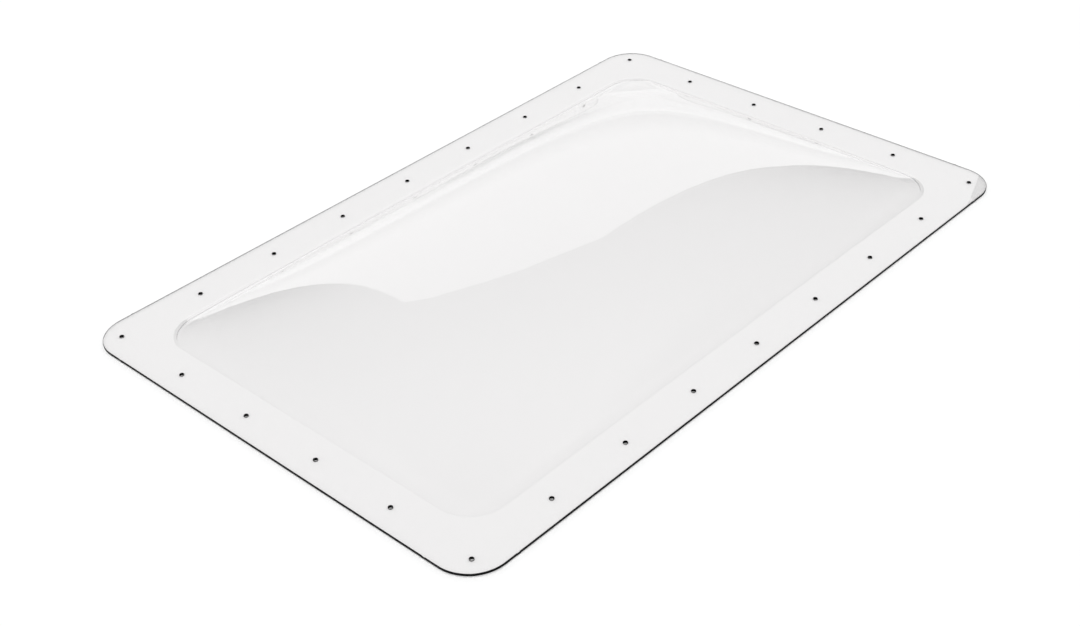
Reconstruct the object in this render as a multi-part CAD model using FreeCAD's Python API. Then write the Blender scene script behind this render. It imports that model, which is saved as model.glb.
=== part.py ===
import FreeCAD, Part
import math
import os

# RV skylight: the outer dome and the seal under its flange.
# Millimetres. The origin is the middle of the seal's underside, which lies on
# the roof at Z = 0. X runs along the skylight, Y across it and Z points up.

# Flange, seen in plan
FLANGE_LENGTH = 863.6  # 34 in
FLANGE_WIDTH = 558.8  # 22 in
FLANGE_CORNER_RADIUS = 41.0
EDGE_CHAMFER = 0.4  # the routed rim is eased above and below

# Polycarbonate sheet
SHEET_THICKNESS = 3.0
CROWN_THICKNESS = 2.4  # the sheet thins as it is blown

# Roof opening, which the land of the flange frames on all four sides
LAND_WIDTH = 54.0  # so the opening is about 756 by 451
ROOF_OPENING_CORNER_RADIUS = 40.0

# Dome, measured at the sharp foot, before its fillet
FOOT_INSIDE_OPENING_ENDS = 2.8
FOOT_INSIDE_OPENING_SIDES = 5.0
DOME_RISE = 76.2  # 3 in above the top of the flange
FOOT_FILLET_RADIUS = 20.0
FOOT_CORNER_DROP = 0.6  # the more, the rounder the foot's four corners

# Fullness of the blown form: 1 is a parabola, less is flatter on top and
# steeper at the foot
FULLNESS_ALONG = 0.58
FULLNESS_ACROSS = 0.85

# Screw holes, drilled on one line all round
HOLE_DIAMETER = 4.8
HOLE_EDGE_DISTANCE = 25.4
HOLES_ALONG = 9
HOLES_ACROSS = 6

# Seal
SEAL_THICKNESS = 2.0
SEAL_EDGE_INSET = 1.0
SEAL_HOLE_CLEARANCE = 0.6  # on the diameter of each screw hole
SEAL_HOLE_SIDES = 8  # the punched holes in the foam are eight-sided

# How far cutting bodies run past what they cut, what counts as level, and how
# far outside the dome's foot an edge may reach and still belong to it
CUT_PAST = 5.0
NEAR = 0.01
FOOT_EDGE_MARGIN = 1.0

FLANGE_UNDERSIDE = SEAL_THICKNESS
FLANGE_TOP = FLANGE_UNDERSIDE + SHEET_THICKNESS
ROOF_OPENING_LENGTH = FLANGE_LENGTH - 2 * LAND_WIDTH
ROOF_OPENING_WIDTH = FLANGE_WIDTH - 2 * LAND_WIDTH
FOOT_LENGTH = ROOF_OPENING_LENGTH - 2 * FOOT_INSIDE_OPENING_ENDS
FOOT_WIDTH = ROOF_OPENING_WIDTH - 2 * FOOT_INSIDE_OPENING_SIDES


def rounded_block(length, width, height, corner_radius, z):
    """A block centred in plan, with rounded upright corners, from z upwards."""
    corner = FreeCAD.Vector(-length / 2, -width / 2, z)
    block = Part.makeBox(length, width, height, corner)
    uprights = [edge for edge in block.Edges if edge.BoundBox.ZLength > height - NEAR]
    return block.makeFillet(corner_radius, uprights)


def screw_centres():
    """Centres of the screw holes, each once, round the flange."""
    reach_along = FLANGE_LENGTH / 2 - HOLE_EDGE_DISTANCE
    reach_across = FLANGE_WIDTH / 2 - HOLE_EDGE_DISTANCE
    pitch_along = 2 * reach_along / (HOLES_ALONG - 1)
    pitch_across = 2 * reach_across / (HOLES_ACROSS - 1)
    centres = []
    for side in (-1, 1):
        for i in range(HOLES_ALONG):
            centres.append(FreeCAD.Vector(i * pitch_along - reach_along, side * reach_across, 0))
        for j in range(1, HOLES_ACROSS - 1):
            centres.append(FreeCAD.Vector(side * reach_along, j * pitch_across - reach_across, 0))
    return centres


def round_cutter(diameter):
    """A drill, upright on the origin, long enough for the flange and the seal."""
    return Part.makeCylinder(diameter / 2, FLANGE_TOP + 2 * CUT_PAST, FreeCAD.Vector(0, 0, -CUT_PAST))


def polygon_cutter(sides, across_flats):
    """A regular punch of so many sides, upright on the origin."""
    corner_reach = across_flats / 2 / math.cos(math.pi / sides)
    corners = []
    for i in range(sides + 1):
        turn = 2 * math.pi * (i + 0.5) / sides
        corners.append(FreeCAD.Vector(corner_reach * math.cos(turn), corner_reach * math.sin(turn), -CUT_PAST))
    outline = Part.Face(Part.makePolygon(corners))
    return outline.extrude(FreeCAD.Vector(0, 0, FLANGE_TOP + 2 * CUT_PAST))


def pierced(solid, cutter):
    """The solid with the cutter put through it at every screw hole."""
    cutters = []
    for centre in screw_centres():
        cutters.append(cutter.translated(centre))
    return solid.cut(Part.makeCompound(cutters))


def quartic_poles(fullness):
    """Bezier ordinates over -1..1 of 1 - fullness s^2 - (1 - fullness) s^4."""
    quartic = 1 - fullness
    end = 0.0
    next_in = 1 + quartic
    middle = 1 + fullness / 3 - quartic
    return [end, next_in, middle, next_in, end]


def zero_line_half(foot_half, fullness, height, drop):
    """Half size at which the quartic reaches zero when it is `drop` high at the foot."""
    fall = 1 - drop / (height + drop)
    foot_share_squared = 2 * fall / (fullness + math.sqrt(fullness**2 + 4 * (1 - fullness) * fall))
    return foot_half / math.sqrt(foot_share_squared)


def foot_slope(foot_half, fullness, height):
    """Angle of the blown form at its foot, in radians."""
    return math.atan((4 - 2 * fullness) * height / foot_half)


def blown_block(foot_half_along, foot_half_across, height, z, base):
    """The filled blown form over a plane at z, as a block that goes down to base."""
    half_along = zero_line_half(foot_half_along, FULLNESS_ALONG, height, FOOT_CORNER_DROP)
    half_across = zero_line_half(foot_half_across, FULLNESS_ACROSS, height, FOOT_CORNER_DROP)
    along = quartic_poles(FULLNESS_ALONG)
    across = quartic_poles(FULLNESS_ACROSS)
    surface = Part.BezierSurface()
    surface.increase(len(along) - 1, len(across) - 1)
    for i, rise_along in enumerate(along):
        for j, rise_across in enumerate(across):
            pole = FreeCAD.Vector(
                half_along * (2 * i / (len(along) - 1) - 1),
                half_across * (2 * j / (len(across) - 1) - 1),
                z - FOOT_CORNER_DROP + (height + FOOT_CORNER_DROP) * rise_along * rise_across,
            )
            surface.setPole(i + 1, j + 1, pole)
    depth = height + z - base + CUT_PAST
    column = surface.toShape().extrude(FreeCAD.Vector(0, 0, -depth))
    corner = FreeCAD.Vector(-half_along - CUT_PAST, -half_across - CUT_PAST, base)
    room = Part.makeBox(
        2 * (half_along + CUT_PAST), 2 * (half_across + CUT_PAST), z - base + height + CUT_PAST, corner
    )
    return column.common(room)


def rounded_foot(body, foot_half_along, foot_half_across, radius, z):
    """The body with the edge where the dome leaves the plane at z filleted."""
    foot = []
    for edge in body.Edges:
        box = edge.BoundBox
        level = abs(box.ZMin - z) < NEAR and abs(box.ZMax - z) < NEAR
        reach_along = max(-box.XMin, box.XMax)
        reach_across = max(-box.YMin, box.YMax)
        within_along = reach_along < foot_half_along + FOOT_EDGE_MARGIN
        within_across = reach_across < foot_half_across + FOOT_EDGE_MARGIN
        if level and within_along and within_across:
            foot.append(edge)
    return body.makeFillet(radius, foot)


def skylight_dome():
    """The formed sheet: flange, foot fillet and blown crown."""
    half_along = FOOT_LENGTH / 2
    half_across = FOOT_WIDTH / 2
    flange = rounded_block(
        FLANGE_LENGTH, FLANGE_WIDTH, SHEET_THICKNESS, FLANGE_CORNER_RADIUS, FLANGE_UNDERSIDE
    )
    rim = []
    for edge in flange.Edges:
        if edge.BoundBox.ZLength < EDGE_CHAMFER:
            rim.append(edge)
    flange = flange.makeChamfer(EDGE_CHAMFER, rim)
    crown_base = FLANGE_UNDERSIDE - CUT_PAST
    crown = blown_block(half_along, half_across, DOME_RISE, FLANGE_TOP, crown_base)
    outside = rounded_foot(flange.fuse(crown), half_along, half_across, FOOT_FILLET_RADIUS, FLANGE_TOP)

    inner_rise = DOME_RISE + SHEET_THICKNESS - CROWN_THICKNESS
    inner_along = half_along - SHEET_THICKNESS * math.tan(
        foot_slope(half_along, FULLNESS_ALONG, DOME_RISE) / 2
    )
    inner_across = half_across - SHEET_THICKNESS * math.tan(
        foot_slope(half_across, FULLNESS_ACROSS, DOME_RISE) / 2
    )
    hollow_base = crown_base - CUT_PAST
    hollow = blown_block(inner_along, inner_across, inner_rise, FLANGE_UNDERSIDE, hollow_base)
    corner = FreeCAD.Vector(-FLANGE_LENGTH, -FLANGE_WIDTH, hollow_base)
    below = Part.makeBox(2 * FLANGE_LENGTH, 2 * FLANGE_WIDTH, FLANGE_UNDERSIDE - hollow_base, corner)
    inner_radius = FOOT_FILLET_RADIUS + SHEET_THICKNESS
    inside = rounded_foot(below.fuse(hollow), inner_along, inner_across, inner_radius, FLANGE_UNDERSIDE)
    sheet = outside.cut(inside).removeSplitter()
    return pierced(sheet, round_cutter(HOLE_DIAMETER))


def flange_seal():
    """The foam ring under the flange, open over the roof opening."""
    outline = rounded_block(
        FLANGE_LENGTH - 2 * SEAL_EDGE_INSET,
        FLANGE_WIDTH - 2 * SEAL_EDGE_INSET,
        SEAL_THICKNESS,
        FLANGE_CORNER_RADIUS - SEAL_EDGE_INSET,
        0,
    )
    opening = rounded_block(
        ROOF_OPENING_LENGTH,
        ROOF_OPENING_WIDTH,
        SEAL_THICKNESS + 2 * CUT_PAST,
        ROOF_OPENING_CORNER_RADIUS,
        -CUT_PAST,
    )
    punch = polygon_cutter(SEAL_HOLE_SIDES, HOLE_DIAMETER + SEAL_HOLE_CLEARANCE)
    return pierced(outline.cut(opening), punch)


def main():
    os.makedirs("parts", exist_ok=True)
    nodes = {"skylight_dome": skylight_dome(), "flange_seal": flange_seal()}
    for name, shape in nodes.items():
        if not shape.isValid() or len(shape.Solids) != 1:
            raise ValueError(f"{name} isn't one valid solid")
        solid = shape.Solids[0]
        solid.exportStep(f"parts/{name}.step")
        box = solid.optimalBoundingBox()
        print(f"{name}: {solid.Volume / 1000:.1f} cm3, {len(solid.Faces)} faces,"
              f" {box.XLength:.1f} x {box.YLength:.1f} x {box.ZLength:.1f}, Z from {box.ZMin:.2f}")


main()
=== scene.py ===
import logging
import math
from collections.abc import Callable
from dataclasses import dataclass, field
from enum import Enum

import bpy
from mathutils import Matrix, Vector


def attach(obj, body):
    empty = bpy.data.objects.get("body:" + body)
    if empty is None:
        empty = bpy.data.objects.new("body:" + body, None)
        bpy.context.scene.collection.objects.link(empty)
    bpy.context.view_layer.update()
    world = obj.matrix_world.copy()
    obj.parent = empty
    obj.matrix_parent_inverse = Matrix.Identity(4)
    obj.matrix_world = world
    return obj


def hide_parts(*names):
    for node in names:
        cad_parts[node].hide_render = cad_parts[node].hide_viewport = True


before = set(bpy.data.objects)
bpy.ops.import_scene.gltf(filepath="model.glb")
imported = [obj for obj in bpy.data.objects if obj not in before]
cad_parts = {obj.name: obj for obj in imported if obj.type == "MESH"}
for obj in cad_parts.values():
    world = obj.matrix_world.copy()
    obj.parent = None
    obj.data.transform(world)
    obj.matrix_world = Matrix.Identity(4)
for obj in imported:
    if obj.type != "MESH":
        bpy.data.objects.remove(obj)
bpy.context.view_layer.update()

# A clear skylight for a vehicle roof: one blown sheet of polycarbonate with a
# flat flange, on a ring of closed-cell foam. Metres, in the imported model's frame.

LOG = logging.getLogger("skylight")

MM = 0.001

# Places closer than this count as one, and a slope less than this counts as level
TINY = 1e-6

# An edge whose ends are this close to the flange's outline belongs to it
ON_OUTLINE = 1e-5

# A count of bounces above this is one or more
NO_BOUNCE = 0.5


class Slot(Enum):
    """The record's material slots."""

    SHEET = "clear_polycarbonate"
    FOAM = "white_foam"


class SeenBy(Enum):
    """Rays of the Light Path node that look at a thing instead of lighting by it."""

    CAMERA = "Is Camera Ray"
    GLOSSY = "Is Glossy Ray"
    TRANSMISSION = "Is Transmission Ray"


# Small tools


def linear(hex_colour: str) -> tuple[float, float, float, float]:
    """Turns an sRGB hex colour into the linear colour that the shaders take.

    Args:
        hex_colour: Six hex digits, with or without a leading hash.

    Returns:
        Red, green and blue, linear, with an alpha of 1.
    """
    digits = hex_colour.lstrip("#")
    channels = [int(digits[i : i + 2], 16) / 255 for i in (0, 2, 4)]
    bent = [c / 12.92 if c <= 0.04045 else ((c + 0.055) / 1.055) ** 2.4 for c in channels]
    return (bent[0], bent[1], bent[2], 1.0)


def add_node(
    tree: bpy.types.NodeTree,
    kind: str,
    settings: dict[str | int, object] | None = None,
    links: dict[str | int, bpy.types.NodeSocket] | None = None,
) -> bpy.types.Node:
    """Adds a node with its settings and its links.

    Args:
        tree: The tree that gets the node.
        kind: The node's Blender type.
        settings: Values by input name or number, or by property name.
        links: Output sockets by the name or number of the input they feed.

    Returns:
        The new node.
    """
    node = tree.nodes.new(kind)
    for name, value in (settings or {}).items():
        if isinstance(name, int) or name in node.inputs:
            node.inputs[name].default_value = value
        else:
            setattr(node, name, value)
    for name, socket in (links or {}).items():
        tree.links.new(socket, node.inputs[name])
    return node


def empty_material(name: str) -> tuple[bpy.types.Material, bpy.types.NodeTree]:
    """Makes a material whose node tree is empty.

    Args:
        name: The material's name.

    Returns:
        The material and its tree.
    """
    material = bpy.data.materials.new(name)
    material.use_nodes = True
    material.node_tree.nodes.clear()
    return material, material.node_tree


def deselect_all() -> None:
    """Leaves nothing selected and nothing active."""
    for chosen in list(bpy.context.selected_objects):
        chosen.select_set(False)
    bpy.context.view_layer.objects.active = None


def make_active(piece: bpy.types.Object) -> None:
    """Selects one object alone and makes it the active one.

    Args:
        piece: The object.
    """
    deselect_all()
    piece.select_set(True)
    bpy.context.view_layer.objects.active = piece


def bevel_edges(
    piece: bpy.types.Object,
    test: Callable[[bpy.types.MeshEdge], bool],
    width: float,
    facets: int,
) -> None:
    """Bevels the edges of a mesh that pass a test.

    Args:
        piece: The object, in object mode.
        test: Says whether an edge is wanted.
        width: How far the bevel reaches from the edge.
        facets: How many facets it gets.
    """
    make_active(piece)
    bpy.ops.object.mode_set(mode="EDIT")
    bpy.ops.mesh.select_mode(type="EDGE")
    bpy.ops.mesh.select_all(action="DESELECT")
    bpy.ops.object.mode_set(mode="OBJECT")
    for edge in piece.data.edges:
        if test(edge):
            edge.select = True
    bpy.ops.object.mode_set(mode="EDIT")
    bpy.ops.mesh.bevel(offset=width, offset_type="OFFSET", segments=facets, affect="EDGES")
    bpy.ops.object.mode_set(mode="OBJECT")


def subtract(piece: bpy.types.Object, cutter: bpy.types.Object) -> None:
    """Cuts one closed mesh out of another and removes the cutter.

    Args:
        piece: The object that is cut.
        cutter: The object that cuts it.
    """
    make_active(piece)
    modifier = piece.modifiers.new("cut", "BOOLEAN")
    modifier.operation = "DIFFERENCE"
    modifier.solver = "EXACT"
    modifier.object = cutter
    bpy.ops.object.modifier_apply(modifier=modifier.name)
    bpy.data.objects.remove(cutter)


def is_upright(mesh: bpy.types.Mesh, edge: bpy.types.MeshEdge) -> bool:
    """True if an edge of the mesh runs straight up."""
    a, b = (mesh.vertices[i].co for i in edge.vertices)
    return (a - b).xy.length < TINY


def rounded_slab(
    name: str,
    length: float,
    width: float,
    low: float,
    high: float,
    corner: float,
    facets: int,
) -> bpy.types.Object:
    """Models a flat slab with rounded upright corners, centred in plan.

    Args:
        name: The object's name.
        length: Size along X.
        width: Size along Y.
        low: Height of the underside.
        high: Height of the top.
        corner: Radius of the upright corners.
        facets: How many facets go round each corner.

    Returns:
        The slab, at the origin with its place in its mesh.
    """
    deselect_all()
    bpy.ops.mesh.primitive_cube_add(size=1.0, location=(0.0, 0.0, (low + high) / 2))
    slab = bpy.context.object
    slab.name = name
    slab.scale = (length, width, high - low)
    bpy.ops.object.transform_apply(location=True, rotation=True, scale=True)
    bevel_edges(slab, lambda edge: is_upright(slab.data, edge), corner, facets)
    return slab


def quartic(share: float, fullness: float) -> float:
    """Returns the height of a blown profile at a share of its half size: 1 in the middle, 0 at 1."""
    return 1 - fullness * share**2 - (1 - fullness) * share**4


def quartic_slope(share: float, fullness: float) -> float:
    """Returns the slope of that profile. A fullness of 1 is a parabola, and less is flatter on top."""
    return -2 * fullness * share - 4 * (1 - fullness) * share**3


# Sizes that the pieces share


@dataclass(frozen=True)
class Flange:
    """The flange's outline and height, and the land that frames the roof opening on four sides."""

    length: float = 863.6 * MM
    width: float = 558.8 * MM
    corner_radius: float = 41.0 * MM
    underside: float = 2.0 * MM
    land_width: float = 54.0 * MM


@dataclass(frozen=True)
class ScrewLine:
    """The screw holes, on one line all round the flange."""

    flange: Flange = field(default_factory=Flange)
    edge_distance: float = 25.4 * MM
    count_along: int = 9
    count_across: int = 6
    drill_facets: int = 32

    def centres(self) -> list[tuple[float, float]]:
        """Works out the centre of every hole, each once.

        Returns:
            Their places along and across the skylight.
        """
        reach_along = self.flange.length / 2 - self.edge_distance
        reach_across = self.flange.width / 2 - self.edge_distance
        found = []
        for side in (-1, 1):
            for i in range(self.count_along):
                share = 2 * i / (self.count_along - 1) - 1
                found.append((share * reach_along, side * reach_across))
            for j in range(1, self.count_across - 1):
                share = 2 * j / (self.count_across - 1) - 1
                found.append((side * reach_along, share * reach_across))
        return found

    def drills(self, name: str, radius: float, low: float, high: float) -> bpy.types.Object:
        """Models the drills for every hole as one object.

        Args:
            name: The object's name.
            radius: Radius of the holes.
            low: Where the drills begin, below the piece.
            high: Where they end, above it.

        Returns:
            One closed cylinder for each hole, in one mesh.
        """
        deselect_all()
        drills = []
        for x, y in self.centres():
            bpy.ops.mesh.primitive_cylinder_add(
                vertices=self.drill_facets,
                radius=radius,
                depth=high - low,
                location=(x, y, (low + high) / 2),
            )
            drills.append(bpy.context.object)
        for drill in drills:
            drill.select_set(True)
        bpy.ops.object.join()
        joined = bpy.context.object
        joined.name = name
        bpy.ops.object.transform_apply(location=True, rotation=True, scale=True)
        return joined

    def is_beside(self, point: Vector, reach: float) -> bool:
        """True if a point is within that reach of the middle of a hole, seen in plan."""
        return any(math.hypot(point.x - x, point.y - y) < reach for x, y in self.centres())


@dataclass
class BlownFace:
    """One face of the blown sheet: its level land, the fillet at the foot and the crown.

    Air pressure blows the soft sheet up inside a rectangular clamping ring, so its height
    falls as a quartic along and a quartic across. The ring leaves a shallow fold round the
    foot, where the sheet bends sharply off the land. The foot's four corners are rounded by
    letting the quartics end corner_drop below the land.
    """

    land: float
    foot_along: float
    foot_across: float
    rise: float
    fillet: float
    corner_drop: float = 0.6 * MM
    fullness_along: float = 0.58
    fullness_across: float = 0.85
    fold_along: float = 379.5 * MM
    fold_across: float = 229.0 * MM
    fold_corner: float = 42.0 * MM
    fold_width: float = 26.0 * MM
    fold_rise: float = 2.8 * MM
    blown_rise: float = field(init=False)
    zero_along: float = field(init=False)
    zero_across: float = field(init=False)

    def __post_init__(self) -> None:
        """Works out the rise above the fold, and where each quartic reaches nought."""
        self.blown_rise = self.rise - self.fold_rise
        self.zero_along = self.zero_line(self.foot_along, self.fullness_along)
        self.zero_across = self.zero_line(self.foot_across, self.fullness_across)

    def zero_line(self, foot: float, fullness: float) -> float:
        """Works out where a quartic that is corner_drop high at the foot reaches nought.

        Args:
            foot: Half size of the crown at its sharp foot.
            fullness: The quartic's fullness.

        Returns:
            Half size at which it is nought.
        """
        fall = 1 - self.corner_drop / (self.blown_rise + self.corner_drop)
        root = math.sqrt(fullness**2 + 4 * (1 - fullness) * fall)
        return foot / math.sqrt(2 * fall / (fullness + root))

    def height(self, x: float, y: float) -> float:
        """Returns the face's height at a place along and across the skylight, in metres."""
        return self.land + self.blown(x, y) + self.fold(x, y)

    def fold(self, x: float, y: float) -> float:
        """Works out the fold's height over the land: steep where it begins, then level.

        Args:
            x: Place along the skylight.
            y: Place across it.

        Returns:
            Nought outside the clamping ring, and the fold's full rise well inside it.
        """
        u = abs(x) - (self.fold_along - self.fold_corner)
        v = abs(y) - (self.fold_across - self.fold_corner)
        inside = self.fold_corner - math.hypot(max(u, 0.0), max(v, 0.0)) - min(max(u, v), 0.0)
        share = min(max(inside / self.fold_width, 0.0), 1.0)
        return self.fold_rise * share * (2 - share)

    def blown(self, x: float, y: float) -> float:
        """Works out the crown's height, with the fillet rolled into its foot.

        Args:
            x: Place along the skylight.
            y: Place across it.

        Returns:
            Height over the land and without the fold, nought on the land.
        """
        s = x / self.zero_along
        t = y / self.zero_across
        along = quartic(s, self.fullness_along)
        across = quartic(t, self.fullness_across)
        if along <= 0 and across <= 0:
            return 0.0
        full = self.blown_rise + self.corner_drop
        crown = full * along * across - self.corner_drop
        slope_x = full * across * quartic_slope(s, self.fullness_along)
        slope_y = full * along * quartic_slope(t, self.fullness_across)
        slope = math.hypot(slope_x / self.zero_along, slope_y / self.zero_across)
        if slope < TINY:
            return max(crown, 0.0)
        inside_foot = crown / slope
        lean = math.atan(slope)
        tangent = self.fillet * math.tan(lean / 2)
        if inside_foot <= -tangent:
            return 0.0
        if inside_foot >= tangent * math.cos(lean):
            return crown
        return self.fillet - math.sqrt(self.fillet**2 - (inside_foot + tangent) ** 2)


# Finishes


@dataclass(frozen=True)
class ClearPolycarbonate:
    """Extruded clear polycarbonate sheet, blown hot with air and not touched by a mould.

    It keeps its extruded gloss on both faces. Polycarbonate mirrors a little more than glass,
    and blowing leaves slow waves in it, a hand's breadth apart, that make mirrored edges waver.
    Handling leaves patches of a haze that is only just there.
    """

    name: str = "polycarbonate_clear_blown"
    tint: str = "#fcfbfb"
    refraction: float = 1.585
    wave_length: float = 90 * MM
    wave_depth: float = 0.05 * MM
    haze_patch: float = 60 * MM
    haze_least: float = 0.0
    haze_most: float = 0.03
    clear_up_to: float = 0.35
    hazy_from: float = 0.75
    passed_light: str = "#fdfdfd"

    def make(self) -> bpy.types.Material:
        """Builds the material.

        Returns:
            The material, for both faces of the sheet.
        """
        material, tree = empty_material(self.name)
        place = add_node(tree, "ShaderNodeTexCoord").outputs["Object"]
        waves = add_node(
            tree,
            "ShaderNodeTexNoise",
            {"Scale": 1 / self.wave_length, "Detail": 1.0, "Roughness": 0.3},
            {"Vector": place},
        )
        # Both faces rise together, so the height changes sign on the side that faces down
        side = add_node(tree, "ShaderNodeNewGeometry").outputs["Normal"]
        upward = add_node(tree, "ShaderNodeSeparateXYZ", links={0: side})
        sign = add_node(tree, "ShaderNodeMath", {"operation": "SIGN"}, {0: upward.outputs["Z"]})
        height = add_node(
            tree,
            "ShaderNodeMath",
            {"operation": "MULTIPLY"},
            {0: waves.outputs["Fac"], 1: sign.outputs[0]},
        )
        bump = add_node(
            tree,
            "ShaderNodeBump",
            {"Strength": 1.0, "Distance": self.wave_depth},
            {"Height": height.outputs[0]},
        )
        patches = add_node(
            tree, "ShaderNodeTexNoise", {"Scale": 1 / self.haze_patch, "Detail": 2.0}, {"Vector": place}
        )
        haze = add_node(
            tree,
            "ShaderNodeMapRange",
            {
                "From Min": self.clear_up_to,
                "From Max": self.hazy_from,
                "To Min": self.haze_least,
                "To Max": self.haze_most,
            },
            {"Value": patches.outputs["Fac"]},
        )
        sheet = add_node(
            tree,
            "ShaderNodeBsdfPrincipled",
            {"Base Color": linear(self.tint), "IOR": self.refraction, "Transmission Weight": 1.0},
            {"Roughness": haze.outputs["Result"], "Normal": bump.outputs["Normal"]},
        )
        # Lamps shine through the sheet, a little dimmed, so what it covers isn't in the dark
        path = add_node(tree, "ShaderNodeLightPath")
        light = add_node(
            tree,
            "ShaderNodeMath",
            {"operation": "MAXIMUM"},
            {0: path.outputs["Is Shadow Ray"], 1: path.outputs["Is Diffuse Ray"]},
        )
        passing = add_node(tree, "ShaderNodeBsdfTransparent", {"Color": linear(self.passed_light)})
        both = add_node(
            tree,
            "ShaderNodeMixShader",
            links={0: light.outputs[0], 1: sheet.outputs[0], 2: passing.outputs[0]},
        )
        add_node(tree, "ShaderNodeOutputMaterial", links={"Surface": both.outputs[0]})
        return material


@dataclass(frozen=True)
class RoutedEdge:
    """The edge of clear polycarbonate sheet, routed and drilled.

    The cutter leaves a satin face. From outside it looks dark, because little of the light inside
    the sheet comes out towards the eye: that darkness is painted shade, a near-black colour on the
    face, which the cutter's chatter makes a shade paler every few millimetres. From inside it lets
    out the light that meets it squarely and holds back what meets it past the critical angle.
    """

    name: str = "polycarbonate_routed_edge"
    dark: str = "#020203"
    pale: str = "#0e0e10"
    roughness: float = 0.42
    gloss: float = 0.06
    chatter_length: float = 2.5 * MM
    chatter_depth: float = 0.05 * MM
    chatter_strength: float = 0.3
    refraction: float = 1.585
    square_on: str = "#e0e0e0"
    past_critical: str = "#747474"

    def make(self) -> bpy.types.Material:
        """Builds the material.

        Returns:
            The material, for the rim and the walls of the holes.
        """
        material, tree = empty_material(self.name)
        place = add_node(tree, "ShaderNodeTexCoord").outputs["Object"]
        chatter = add_node(
            tree, "ShaderNodeTexNoise", {"Scale": 1 / self.chatter_length, "Detail": 3.0}, {"Vector": place}
        )
        # Painted shade: the satin face is coloured near-black, a little paler in the chatter, for the
        # darkness of a clear edge
        tone = add_node(
            tree,
            "ShaderNodeMix",
            {"data_type": "RGBA", 6: linear(self.dark), 7: linear(self.pale)},
            {0: chatter.outputs["Fac"]},
        )
        bump = add_node(
            tree,
            "ShaderNodeBump",
            {"Strength": self.chatter_strength, "Distance": self.chatter_depth},
            {"Height": chatter.outputs["Fac"]},
        )
        edge = add_node(
            tree,
            "ShaderNodeBsdfPrincipled",
            {
                "Roughness": self.roughness,
                "IOR": self.refraction,
                "Specular IOR Level": self.gloss,
            },
            {"Base Color": tone.outputs[2], "Normal": bump.outputs["Normal"]},
        )
        # From inside a surface, Fresnel is 1 past the critical angle
        held_back = add_node(tree, "ShaderNodeFresnel", {"IOR": self.refraction})
        let_out = add_node(
            tree,
            "ShaderNodeMix",
            {"data_type": "RGBA", 6: linear(self.square_on), 7: linear(self.past_critical)},
            {0: held_back.outputs["Fac"]},
        )
        inside = add_node(tree, "ShaderNodeBsdfTransparent", links={"Color": let_out.outputs[2]})
        side = add_node(tree, "ShaderNodeNewGeometry").outputs["Backfacing"]
        both = add_node(
            tree, "ShaderNodeMixShader", links={0: side, 1: edge.outputs[0], 2: inside.outputs[0]}
        )
        add_node(tree, "ShaderNodeOutputMaterial", links={"Surface": both.outputs[0]})
        return material


@dataclass(frozen=True)
class ClosedCellFoam:
    """White closed-cell foam tape, cut from sheet: matt, with cut cells about half a millimetre across."""

    name: str = "foam_closed_cell_white"
    face: str = "#fbfbfb"
    painted_pit_shade: str = "#f6f6f6"
    cell: float = 0.6 * MM
    pit_depth: float = 0.1 * MM
    pit_strength: float = 0.4
    roughness: float = 0.9

    def make(self) -> bpy.types.Material:
        """Builds the material.

        Returns:
            The material, for the whole seal.
        """
        material, tree = empty_material(self.name)
        place = add_node(tree, "ShaderNodeTexCoord").outputs["Object"]
        cells = add_node(tree, "ShaderNodeTexVoronoi", {"Scale": 1 / self.cell}, {"Vector": place})
        # Painted shade: each cell's hollow, low in the bump, is coloured a shade darker than the face
        # around it
        tone = add_node(
            tree,
            "ShaderNodeMix",
            {"data_type": "RGBA", 6: linear(self.painted_pit_shade), 7: linear(self.face)},
            {0: cells.outputs["Distance"]},
        )
        bump = add_node(
            tree,
            "ShaderNodeBump",
            {"Strength": self.pit_strength, "Distance": self.pit_depth},
            {"Height": cells.outputs["Distance"]},
        )
        foam = add_node(
            tree,
            "ShaderNodeBsdfPrincipled",
            {"Roughness": self.roughness},
            {"Base Color": tone.outputs[2], "Normal": bump.outputs["Normal"]},
        )
        add_node(tree, "ShaderNodeOutputMaterial", links={"Surface": foam.outputs[0]})
        return material


# The two pieces


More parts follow.
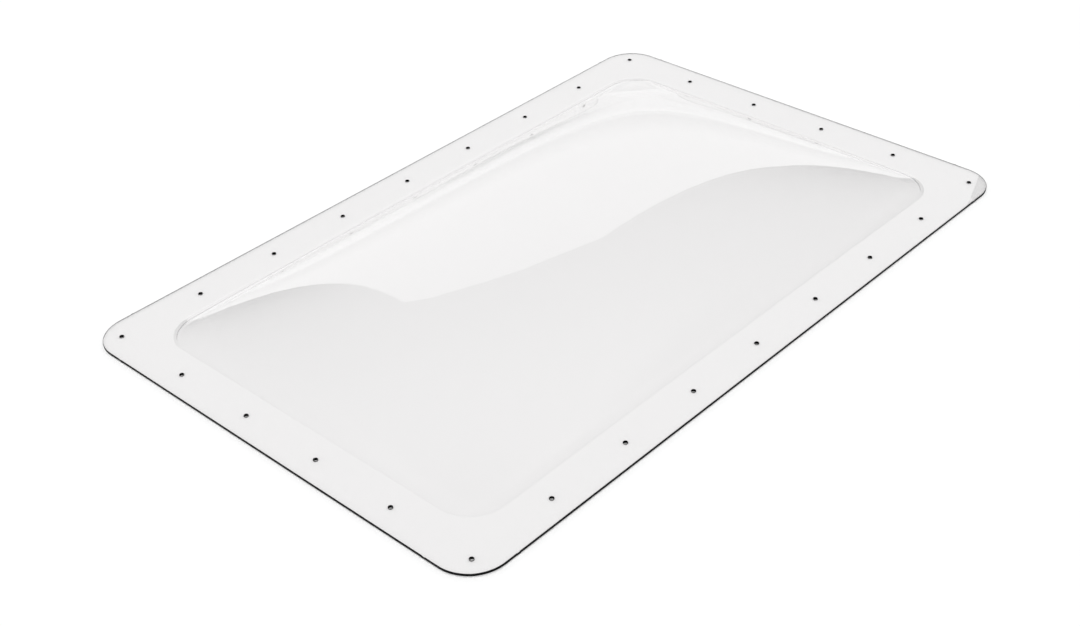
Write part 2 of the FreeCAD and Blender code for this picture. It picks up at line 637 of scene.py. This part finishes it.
@dataclass
class SkylightDome:
    """The formed sheet: a flat flange, the fillet at its foot and the blown crown.

    A face counts as cut by the router or the drill if it stands up, and is within so many
    chamfers of the outline or so many radii of the middle of a hole. Edges that turn less
    than smooth_below, in degrees, are shaded smooth.
    """

    flange: Flange = field(default_factory=Flange)
    thickness: float = 3.0 * MM
    crown_thickness: float = 2.4 * MM
    foot_inside_ends: float = 2.8 * MM
    foot_inside_sides: float = 5.0 * MM
    rise: float = 76.2 * MM
    fillet: float = 20.0 * MM
    edge_chamfer: float = 0.4 * MM
    hole_radius: float = 2.4 * MM
    drilled_from: float = -5.0 * MM
    drilled_to: float = 12.0 * MM
    foot_from_along: float = 350.0 * MM
    foot_from_across: float = 198.0 * MM
    foot_approach: float = 30.0 * MM
    crown_step: float = 8.0 * MM
    approach_step: float = 4.0 * MM
    foot_step: float = 1.75 * MM
    corner_step: float = 3.6 * MM
    level_normal: float = 0.9
    cut_chamfers: float = 1.2
    cut_radii: float = 1.1
    smooth_below: float = 25.0
    screws: ScrewLine = field(default_factory=ScrewLine)
    sheet: ClearPolycarbonate = field(default_factory=ClearPolycarbonate)
    edge: RoutedEdge = field(default_factory=RoutedEdge)

    def outer_face(self) -> BlownFace:
        """Works out the face that the weather meets. Its foot is a little inside the roof opening.

        Returns:
            The outer face.
        """
        opening_along = self.flange.length / 2 - self.flange.land_width
        opening_across = self.flange.width / 2 - self.flange.land_width
        return BlownFace(
            self.flange.underside + self.thickness,
            opening_along - self.foot_inside_ends,
            opening_across - self.foot_inside_sides,
            self.rise,
            self.fillet,
        )

    def inner_face(self) -> BlownFace:
        """Works out the face inside, where the sheet thins towards the crown.

        Returns:
            The inner face, a sheet's thickness inside the outer one at the foot.
        """
        outer = self.outer_face()
        lean_along = math.atan((4 - 2 * outer.fullness_along) * self.rise / outer.foot_along)
        lean_across = math.atan((4 - 2 * outer.fullness_across) * self.rise / outer.foot_across)
        return BlownFace(
            self.flange.underside,
            outer.foot_along - self.thickness * math.tan(lean_along / 2),
            outer.foot_across - self.thickness * math.tan(lean_across / 2),
            self.rise + self.thickness - self.crown_thickness,
            self.fillet + self.thickness,
        )

    def lines(self, half: float, foot_from: float) -> list[float]:
        """Spaces the grid's lines from the middle to one edge and mirrors them.

        They are close together from inside the foot to the start of the rounded corner,
        where the fillet bends fast.

        Args:
            half: Half the flange's size that way.
            foot_from: Where the close lines begin.

        Returns:
            Places of the lines, from one edge to the other.
        """
        bands = (
            (foot_from - self.foot_approach, self.crown_step),
            (foot_from, self.approach_step),
            (half - self.flange.corner_radius, self.foot_step),
            (half, self.corner_step),
        )
        places = [0.0]
        for end, step in bands:
            start = places[-1]
            count = max(1, round((end - start) / step))
            places += [start + (end - start) * (i + 1) / count for i in range(count)]
        return [-p for p in reversed(places[1:])] + places

    def plan_point(self, x: float, y: float) -> tuple[float, float]:
        """Moves a point of the square-cornered grid to its place in the round-cornered flange.

        Args:
            x: Place along the square-cornered grid.
            y: Place across it.

        Returns:
            The point's place along and across the skylight.
        """
        radius = self.flange.corner_radius
        middle_x = self.flange.length / 2 - radius
        middle_y = self.flange.width / 2 - radius
        u = (abs(x) - middle_x) / radius
        v = (abs(y) - middle_y) / radius
        if u <= 0 or v <= 0:
            return x, y
        along = middle_x + radius * u * math.sqrt(1 - v * v / 2)
        across = middle_y + radius * v * math.sqrt(1 - u * u / 2)
        return math.copysign(along, x), math.copysign(across, y)

    def skin(self, name: str, face: BlownFace) -> bpy.types.Object:
        """Models one face of the sheet, out to the edge of the flange.

        Args:
            name: The object's name.
            face: The face's form.

        Returns:
            A grid whose points lie on that face.
        """
        lines_x = self.lines(self.flange.length / 2, self.foot_from_along)
        lines_y = self.lines(self.flange.width / 2, self.foot_from_across)
        cells_x = len(lines_x) - 1
        cells_y = len(lines_y) - 1
        deselect_all()
        bpy.ops.mesh.primitive_grid_add(x_subdivisions=cells_x, y_subdivisions=cells_y, size=2.0)
        skin = bpy.context.object
        skin.name = name
        for vertex in skin.data.vertices:
            i = round((vertex.co.x + 1) / 2 * cells_x)
            j = round((vertex.co.y + 1) / 2 * cells_y)
            x, y = self.plan_point(lines_x[i], lines_y[j])
            vertex.co = (x, y, face.height(x, y))
        return skin

    def inside_outline(self, point: Vector) -> float:
        """Works out how far a point is inside the flange's rounded outline, seen in plan.

        Args:
            point: The point.

        Returns:
            Its distance from the outline, less than nought outside it.
        """
        radius = self.flange.corner_radius
        u = abs(point.x) - (self.flange.length / 2 - radius)
        v = abs(point.y) - (self.flange.width / 2 - radius)
        if u > 0 and v > 0:
            return radius - math.hypot(u, v)
        return radius - max(u, v)

    def is_rim(self, piece: bpy.types.Object, edge: bpy.types.MeshEdge) -> bool:
        """True if an edge is level and part of the flange's upper or lower outline."""
        a, b = (piece.data.vertices[i].co for i in edge.vertices)
        return abs(a.z - b.z) < TINY and max(self.inside_outline(a), self.inside_outline(b)) < ON_OUTLINE

    def is_cut(self, face: bpy.types.MeshPolygon) -> bool:
        """Tells whether a face was made by the router or the drill.

        Args:
            face: A face of the finished mesh.

        Returns:
            True if it was.
        """
        if abs(face.normal.z) > self.level_normal:
            return False
        at_rim = self.inside_outline(face.center) < self.cut_chamfers * self.edge_chamfer
        return at_rim or self.screws.is_beside(face.center, self.cut_radii * self.hole_radius)

    def closed_sheet(self) -> bpy.types.Object:
        """Models both faces of the sheet and joins them all round the rim.

        Returns:
            The sheet as one closed mesh, with a sharp rim and no holes.
        """
        outer = self.skin("blown_dome_sheet", self.outer_face())
        inner = self.skin("inner_skin", self.inner_face())
        make_active(inner)
        bpy.ops.object.mode_set(mode="EDIT")
        bpy.ops.mesh.select_all(action="SELECT")
        bpy.ops.mesh.flip_normals()
        bpy.ops.object.mode_set(mode="OBJECT")
        outer.select_set(True)
        bpy.context.view_layer.objects.active = outer
        bpy.ops.object.join()
        bpy.ops.object.mode_set(mode="EDIT")
        bpy.ops.mesh.select_mode(type="EDGE")
        bpy.ops.mesh.select_all(action="DESELECT")
        bpy.ops.mesh.select_non_manifold()
        bpy.ops.mesh.bridge_edge_loops()
        bpy.ops.mesh.select_all(action="SELECT")
        bpy.ops.mesh.normals_make_consistent(inside=False)
        bpy.ops.object.mode_set(mode="OBJECT")
        return outer

    def build(self) -> bpy.types.Object:
        """Models and dresses the dome.

        Returns:
            The finished piece, in place of its CAD node.
        """
        outer = self.closed_sheet()
        bevel_edges(outer, lambda edge: self.is_rim(outer, edge), self.edge_chamfer, facets=1)
        drills = self.screws.drills("dome_drills", self.hole_radius, self.drilled_from, self.drilled_to)
        subtract(outer, drills)
        outer.data.materials.clear()
        outer.data.materials.append(self.sheet.make())
        outer.data.materials.append(self.edge.make())
        for face in outer.data.polygons:
            face.material_index = int(self.is_cut(face))
        make_active(outer)
        bpy.ops.object.shade_smooth_by_angle(angle=math.radians(self.smooth_below))
        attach(outer, "root")
        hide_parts("skylight_dome")
        return outer


@dataclass
class FlangeSeal:
    """The foam ring between the flange and the roof.

    The cutters reach past it above and below. Edges that turn less than smooth_below, in
    degrees, are shaded smooth.
    """

    flange: Flange = field(default_factory=Flange)
    inset: float = 1.0 * MM
    opening_corner: float = 40.0 * MM
    corner_facets: int = 16
    cut_from: float = -5.0 * MM
    cut_to: float = 12.0 * MM
    hole_radius: float = 2.7 * MM
    punched_from: float = -6.0 * MM
    punched_to: float = 13.0 * MM
    clear_of_sheet: float = 0.04 * MM
    smooth_below: float = 30.0
    screws: ScrewLine = field(default_factory=ScrewLine)
    foam: ClosedCellFoam = field(default_factory=ClosedCellFoam)

    def build(self) -> bpy.types.Object:
        """Models and dresses the seal.

        Returns:
            The finished piece, in place of its CAD node.
        """
        ring = rounded_slab(
            "foam_seal_ring",
            self.flange.length - 2 * self.inset,
            self.flange.width - 2 * self.inset,
            0.0,
            self.flange.underside - self.clear_of_sheet,
            self.flange.corner_radius - self.inset,
            self.corner_facets,
        )
        opening = rounded_slab(
            "seal_opening",
            self.flange.length - 2 * self.flange.land_width,
            self.flange.width - 2 * self.flange.land_width,
            self.cut_from,
            self.cut_to,
            self.opening_corner,
            self.corner_facets,
        )
        subtract(ring, opening)
        punches = self.screws.drills("seal_punches", self.hole_radius, self.punched_from, self.punched_to)
        subtract(ring, punches)
        ring.data.materials.clear()
        ring.data.materials.append(self.foam.make())
        make_active(ring)
        bpy.ops.object.shade_smooth_by_angle(angle=math.radians(self.smooth_below))
        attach(ring, "root")
        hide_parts("flange_seal")
        return ring


# The studio


@dataclass(frozen=True)
class PaleFloor:
    """A white studio floor. It looks white to the eye, and still takes the object's shadow.

    The paper is lifted a little by a glow of its own, which only what looks at it meets: most
    for the camera, less through the sheet and least in a mirror.
    """

    name: str = "floor_white_paper"
    paper: str = "#ececec"
    lift: float = 0.155
    lift_mirrored: float = 0.02
    lift_through_sheet: float = 0.105

    def make(self) -> bpy.types.Material:
        """Builds the material.

        Returns:
            The material, for the floor alone.
        """
        material, tree = empty_material(self.name)
        paper = add_node(tree, "ShaderNodeBsdfDiffuse", {"Color": linear(self.paper)})
        # Each kind of ray adds its own lift to the glow
        path = add_node(tree, "ShaderNodeLightPath")
        strength = None
        for seen_by, lift in (
            (SeenBy.GLOSSY, self.lift_mirrored),
            (SeenBy.TRANSMISSION, self.lift_through_sheet),
            (SeenBy.CAMERA, self.lift),
        ):
            links = {0: path.outputs[seen_by.value]}
            if strength:
                links[2] = strength.outputs[0]
            strength = add_node(
                tree, "ShaderNodeMath", {"operation": "MULTIPLY_ADD", 1: lift, 2: 0.0}, links
            )
        glow = add_node(tree, "ShaderNodeEmission", links={"Strength": strength.outputs[0]})
        both = add_node(tree, "ShaderNodeAddShader", links={0: paper.outputs[0], 1: glow.outputs[0]})
        add_node(tree, "ShaderNodeOutputMaterial", links={"Surface": both.outputs[0]})
        return material


@dataclass(frozen=True)
class SoftboxCloth:
    """The white cloth of a softbox, which shows only where a surface mirrors it.

    It is brightest knee-high, in front of its lamps: how bright it is at a height is the lesser
    of a quick rise from the floor and a slow fall to the top.
    """

    name: str = "softbox_white_cloth"
    height: float = 2.7
    rise_height: float = 0.7
    full: float = 0.95
    at_top: float = 0.5
    at_floor: float = 0.76

    def make(self) -> bpy.types.Material:
        """Builds the material.

        Returns:
            The material, clear to every ray that hasn't been mirrored.
        """
        material, tree = empty_material(self.name)
        path = add_node(tree, "ShaderNodeLightPath")
        mirrored = add_node(
            tree,
            "ShaderNodeMath",
            {"operation": "GREATER_THAN", 1: NO_BOUNCE},
            {0: path.outputs["Glossy Depth"]},
        )
        place = add_node(tree, "ShaderNodeTexCoord").outputs["Object"]
        axes = add_node(tree, "ShaderNodeSeparateXYZ", links={0: place})
        fall = add_node(
            tree,
            "ShaderNodeMapRange",
            {"From Max": self.height, "To Min": self.full, "To Max": self.at_top},
            {"Value": axes.outputs["Z"]},
        )
        rise = add_node(
            tree,
            "ShaderNodeMapRange",
            {"From Max": self.rise_height, "To Min": self.at_floor, "To Max": self.full},
            {"Value": axes.outputs["Z"]},
        )
        strength = add_node(
            tree,
            "ShaderNodeMath",
            {"operation": "MINIMUM"},
            {0: fall.outputs["Result"], 1: rise.outputs["Result"]},
        )
        cloth = add_node(tree, "ShaderNodeEmission", links={"Strength": strength.outputs[0]})
        clear = add_node(tree, "ShaderNodeBsdfTransparent")
        both = add_node(
            tree,
            "ShaderNodeMixShader",
            links={0: mirrored.outputs[0], 1: clear.outputs[0], 2: cloth.outputs[0]},
        )
        add_node(tree, "ShaderNodeOutputMaterial", links={"Surface": both.outputs[0]})
        material.cycles.emission_sampling = "NONE"
        return material


@dataclass
class Studio:
    """The floor, the softbox that the dome mirrors, the lamp, the room and the camera.

    Angles are in degrees. The softbox stands at its bearing and distance from the object, and
    its outline gives how far to the left and how high up its corners are.
    """

    focal_length: float = 54.3
    sensor: float = 36.0
    eye: Vector = field(default_factory=lambda: Vector((-1091.7, -1014.9, 971.0)) * MM)
    aim: Vector = field(default_factory=lambda: Vector((-100.3, -51.4, 5.0)) * MM)
    roll: float = -2.654
    sees_to: float = 60.0
    floor_size: float = 24.0
    floor_cells: int = 8
    floor_drop: float = 0.1 * MM
    ceiling_height: float = 3.0
    ceiling_light: float = 1.85
    ceiling_spread: float = 60.0
    ceiling_shines: Vector = field(default_factory=lambda: Vector((0.2, 0.2, -1.0)))
    room_white: float = 1.0
    room_light: float = 0.6
    room_dark: float = 0.03
    room_pale: float = 0.32
    ceiling_pale_to: float = 0.0
    ceiling_dark_from: float = 0.8
    side_walls_from: float = 0.6
    side_walls_to: float = 0.76
    light_bounces: int = 128
    softbox_distance: float = 2.0
    softbox_bearing: float = 45.0
    softbox_outline: tuple[tuple[float, float], ...] = (
        (1.18, 0.0), (1.18, 1.0), (1.16, 1.7), (1.12, 2.42), (0.85, 2.58), (0.3, 2.67), (-0.1, 2.67),
        (-0.45, 2.57), (-0.76, 2.44), (-0.86, 2.05), (-1.02, 1.5), (-1.17, 0.87), (-1.22, 0.0),
    )

    def floor(self) -> None:
        """Lays the floor just under the object."""
        deselect_all()
        bpy.ops.mesh.primitive_grid_add(
            x_subdivisions=self.floor_cells,
            y_subdivisions=self.floor_cells,
            size=self.floor_size,
            location=(0, 0, -self.floor_drop),
        )
        floor = bpy.context.object
        floor.name = "studio_floor"
        bpy.ops.object.transform_apply(location=True, rotation=True, scale=True)
        floor.data.materials.append(PaleFloor().make())

    def softbox(self) -> None:
        """Hangs the softbox behind the object, where the dome mirrors it."""
        deselect_all()
        bpy.ops.mesh.primitive_circle_add(vertices=len(self.softbox_outline), fill_type="NGON")
        cloth = bpy.context.object
        cloth.name = "studio_softbox"
        turn = Matrix.Rotation(math.radians(self.softbox_bearing), 3, "Z")
        for vertex, (left, up) in zip(cloth.data.vertices, self.softbox_outline):
            vertex.co = turn @ Vector((self.softbox_distance, left, up))
        cloth.data.materials.append(SoftboxCloth().make())
        cloth.visible_camera = False
        cloth.visible_diffuse = False
        cloth.visible_shadow = False

    def lamp(self) -> None:
        """Hangs the ceiling of light, which lights surfaces evenly and isn't mirrored in them."""
        data = bpy.data.lights.new("ceiling_light", "SUN")
        data.angle = math.radians(self.ceiling_spread)
        data.energy = self.ceiling_light
        lamp = bpy.data.objects.new("ceiling_light", data)
        lamp.location = (0.0, 0.0, self.ceiling_height)
        lamp.rotation_euler = self.ceiling_shines.to_track_quat("-Z", "Y").to_euler()
        lamp.visible_glossy = False
        lamp.visible_transmission = False
        lamp.visible_camera = False
        bpy.context.scene.collection.objects.link(lamp)

    def room_shade(self, tree: bpy.types.NodeTree) -> bpy.types.NodeSocket:
        """Adds how bright the room is where it is mirrored.

        It is pale overhead and on the camera's side, and darkens down to the softbox's top.
        To the left and right of the softbox it is dark.

        Args:
            tree: The world's nodes.

        Returns:
            The brightness, by world direction.
        """
        heading = add_node(tree, "ShaderNodeTexCoord").outputs["Generated"]
        turn = Matrix.Rotation(math.radians(self.softbox_bearing), 3, "Z")
        height = max(up for _, up in self.softbox_outline)
        ahead = add_node(
            tree,
            "ShaderNodeVectorMath",
            {"operation": "DOT_PRODUCT", 1: turn @ Vector((height / self.softbox_distance, 0, 0))},
            {0: heading},
        )
        rise = add_node(tree, "ShaderNodeSeparateXYZ", links={0: heading})
        # Nought is straight up, and 1 is level with the softbox's top
        down = add_node(
            tree,
            "ShaderNodeMath",
            {"operation": "DIVIDE"},
            {0: ahead.outputs["Value"], 1: rise.outputs["Z"]},
        )
        ceiling = add_node(
            tree,
            "ShaderNodeMapRange",
            {
                "interpolation_type": "SMOOTHSTEP",
                "From Min": self.ceiling_pale_to,
                "From Max": self.ceiling_dark_from,
                "To Min": self.room_pale,
                "To Max": self.room_dark,
            },
            {"Value": down.outputs[0]},
        )
        aside = add_node(
            tree,
            "ShaderNodeVectorMath",
            {"operation": "DOT_PRODUCT", 1: turn @ Vector((0, 1, 0))},
            {0: heading},
        )
        size = add_node(tree, "ShaderNodeMath", {"operation": "ABSOLUTE"}, {0: aside.outputs["Value"]})
        walls = add_node(
            tree,
            "ShaderNodeMapRange",
            {
                "interpolation_type": "SMOOTHSTEP",
                "From Min": self.side_walls_from,
                "From Max": self.side_walls_to,
                "To Min": 1.0,
                "To Max": self.room_dark,
            },
            {"Value": size.outputs[0]},
        )
        shade = add_node(
            tree,
            "ShaderNodeMath",
            {"operation": "MULTIPLY"},
            {0: ceiling.outputs["Result"], 1: walls.outputs["Result"]},
        )
        return shade.outputs[0]

    def room(self) -> None:
        """Makes the room: white to look at, soft as light, and dark where it is mirrored."""
        world = bpy.data.worlds.new("studio_room")
        world.use_nodes = True
        tree = world.node_tree
        tree.nodes.clear()
        path = add_node(tree, "ShaderNodeLightPath")
        seen = add_node(
            tree,
            "ShaderNodeMath",
            {"operation": "MAXIMUM"},
            {0: path.outputs[SeenBy.CAMERA.value], 1: path.outputs[SeenBy.TRANSMISSION.value]},
        )
        white = add_node(
            tree,
            "ShaderNodeMix",
            {"data_type": "FLOAT", 2: self.room_light, 3: self.room_white},
            {0: seen.outputs[0]},
        )
        looked_at = add_node(
            tree,
            "ShaderNodeMath",
            {"operation": "MAXIMUM"},
            {0: path.outputs[SeenBy.GLOSSY.value], 1: path.outputs[SeenBy.TRANSMISSION.value]},
        )
        bounced = add_node(
            tree,
            "ShaderNodeMath",
            {"operation": "GREATER_THAN", 1: NO_BOUNCE},
            {0: path.outputs["Glossy Depth"]},
        )
        mirrored = add_node(
            tree,
            "ShaderNodeMath",
            {"operation": "MULTIPLY"},
            {0: looked_at.outputs[0], 1: bounced.outputs[0]},
        )
        strength = add_node(
            tree,
            "ShaderNodeMix",
            {"data_type": "FLOAT"},
            {0: mirrored.outputs[0], 2: white.outputs[0], 3: self.room_shade(tree)},
        )
        background = add_node(tree, "ShaderNodeBackground", links={"Strength": strength.outputs[0]})
        add_node(tree, "ShaderNodeOutputWorld", links={"Surface": background.outputs[0]})
        bpy.context.scene.world = world

    def camera(self) -> None:
        """Sets up the camera: above the near corner, looking down along the length."""
        data = bpy.data.cameras.new("camera")
        data.sensor_width = self.sensor
        data.lens = self.focal_length
        data.clip_end = self.sees_to
        camera = bpy.data.objects.new("camera", data)
        forward = (self.aim - self.eye).normalized()
        right = forward.cross(Vector((0, 0, 1))).normalized()
        up = right.cross(forward)
        turn = Matrix((right, up, -forward)).transposed()
        camera.rotation_euler = (Matrix.Rotation(math.radians(self.roll), 3, -forward) @ turn).to_euler()
        camera.location = self.eye
        bpy.context.scene.collection.objects.link(camera)
        bpy.context.scene.camera = camera

    def build(self) -> None:
        """Sets the whole studio up."""
        self.floor()
        self.softbox()
        self.lamp()
        self.room()
        self.camera()
        bpy.context.scene.view_settings.view_transform = "Standard"
        # At a glancing angle, light bounces many times between the sheet's two faces
        for kind in ("max_bounces", "glossy_bounces", "transmission_bounces"):
            setattr(bpy.context.scene.cycles, kind, self.light_bounces)


def report(piece: bpy.types.Object) -> None:
    """Logs a finished piece's name and how many faces it has."""
    LOG.info("%s: %d faces", piece.name, len(piece.data.polygons))


def main() -> None:
    """Builds the pieces and the studio in order."""
    logging.basicConfig(level=logging.INFO)
    report(SkylightDome().build())
    report(FlangeSeal().build())
    Studio().build()


if __name__ == "__main__":
    main()
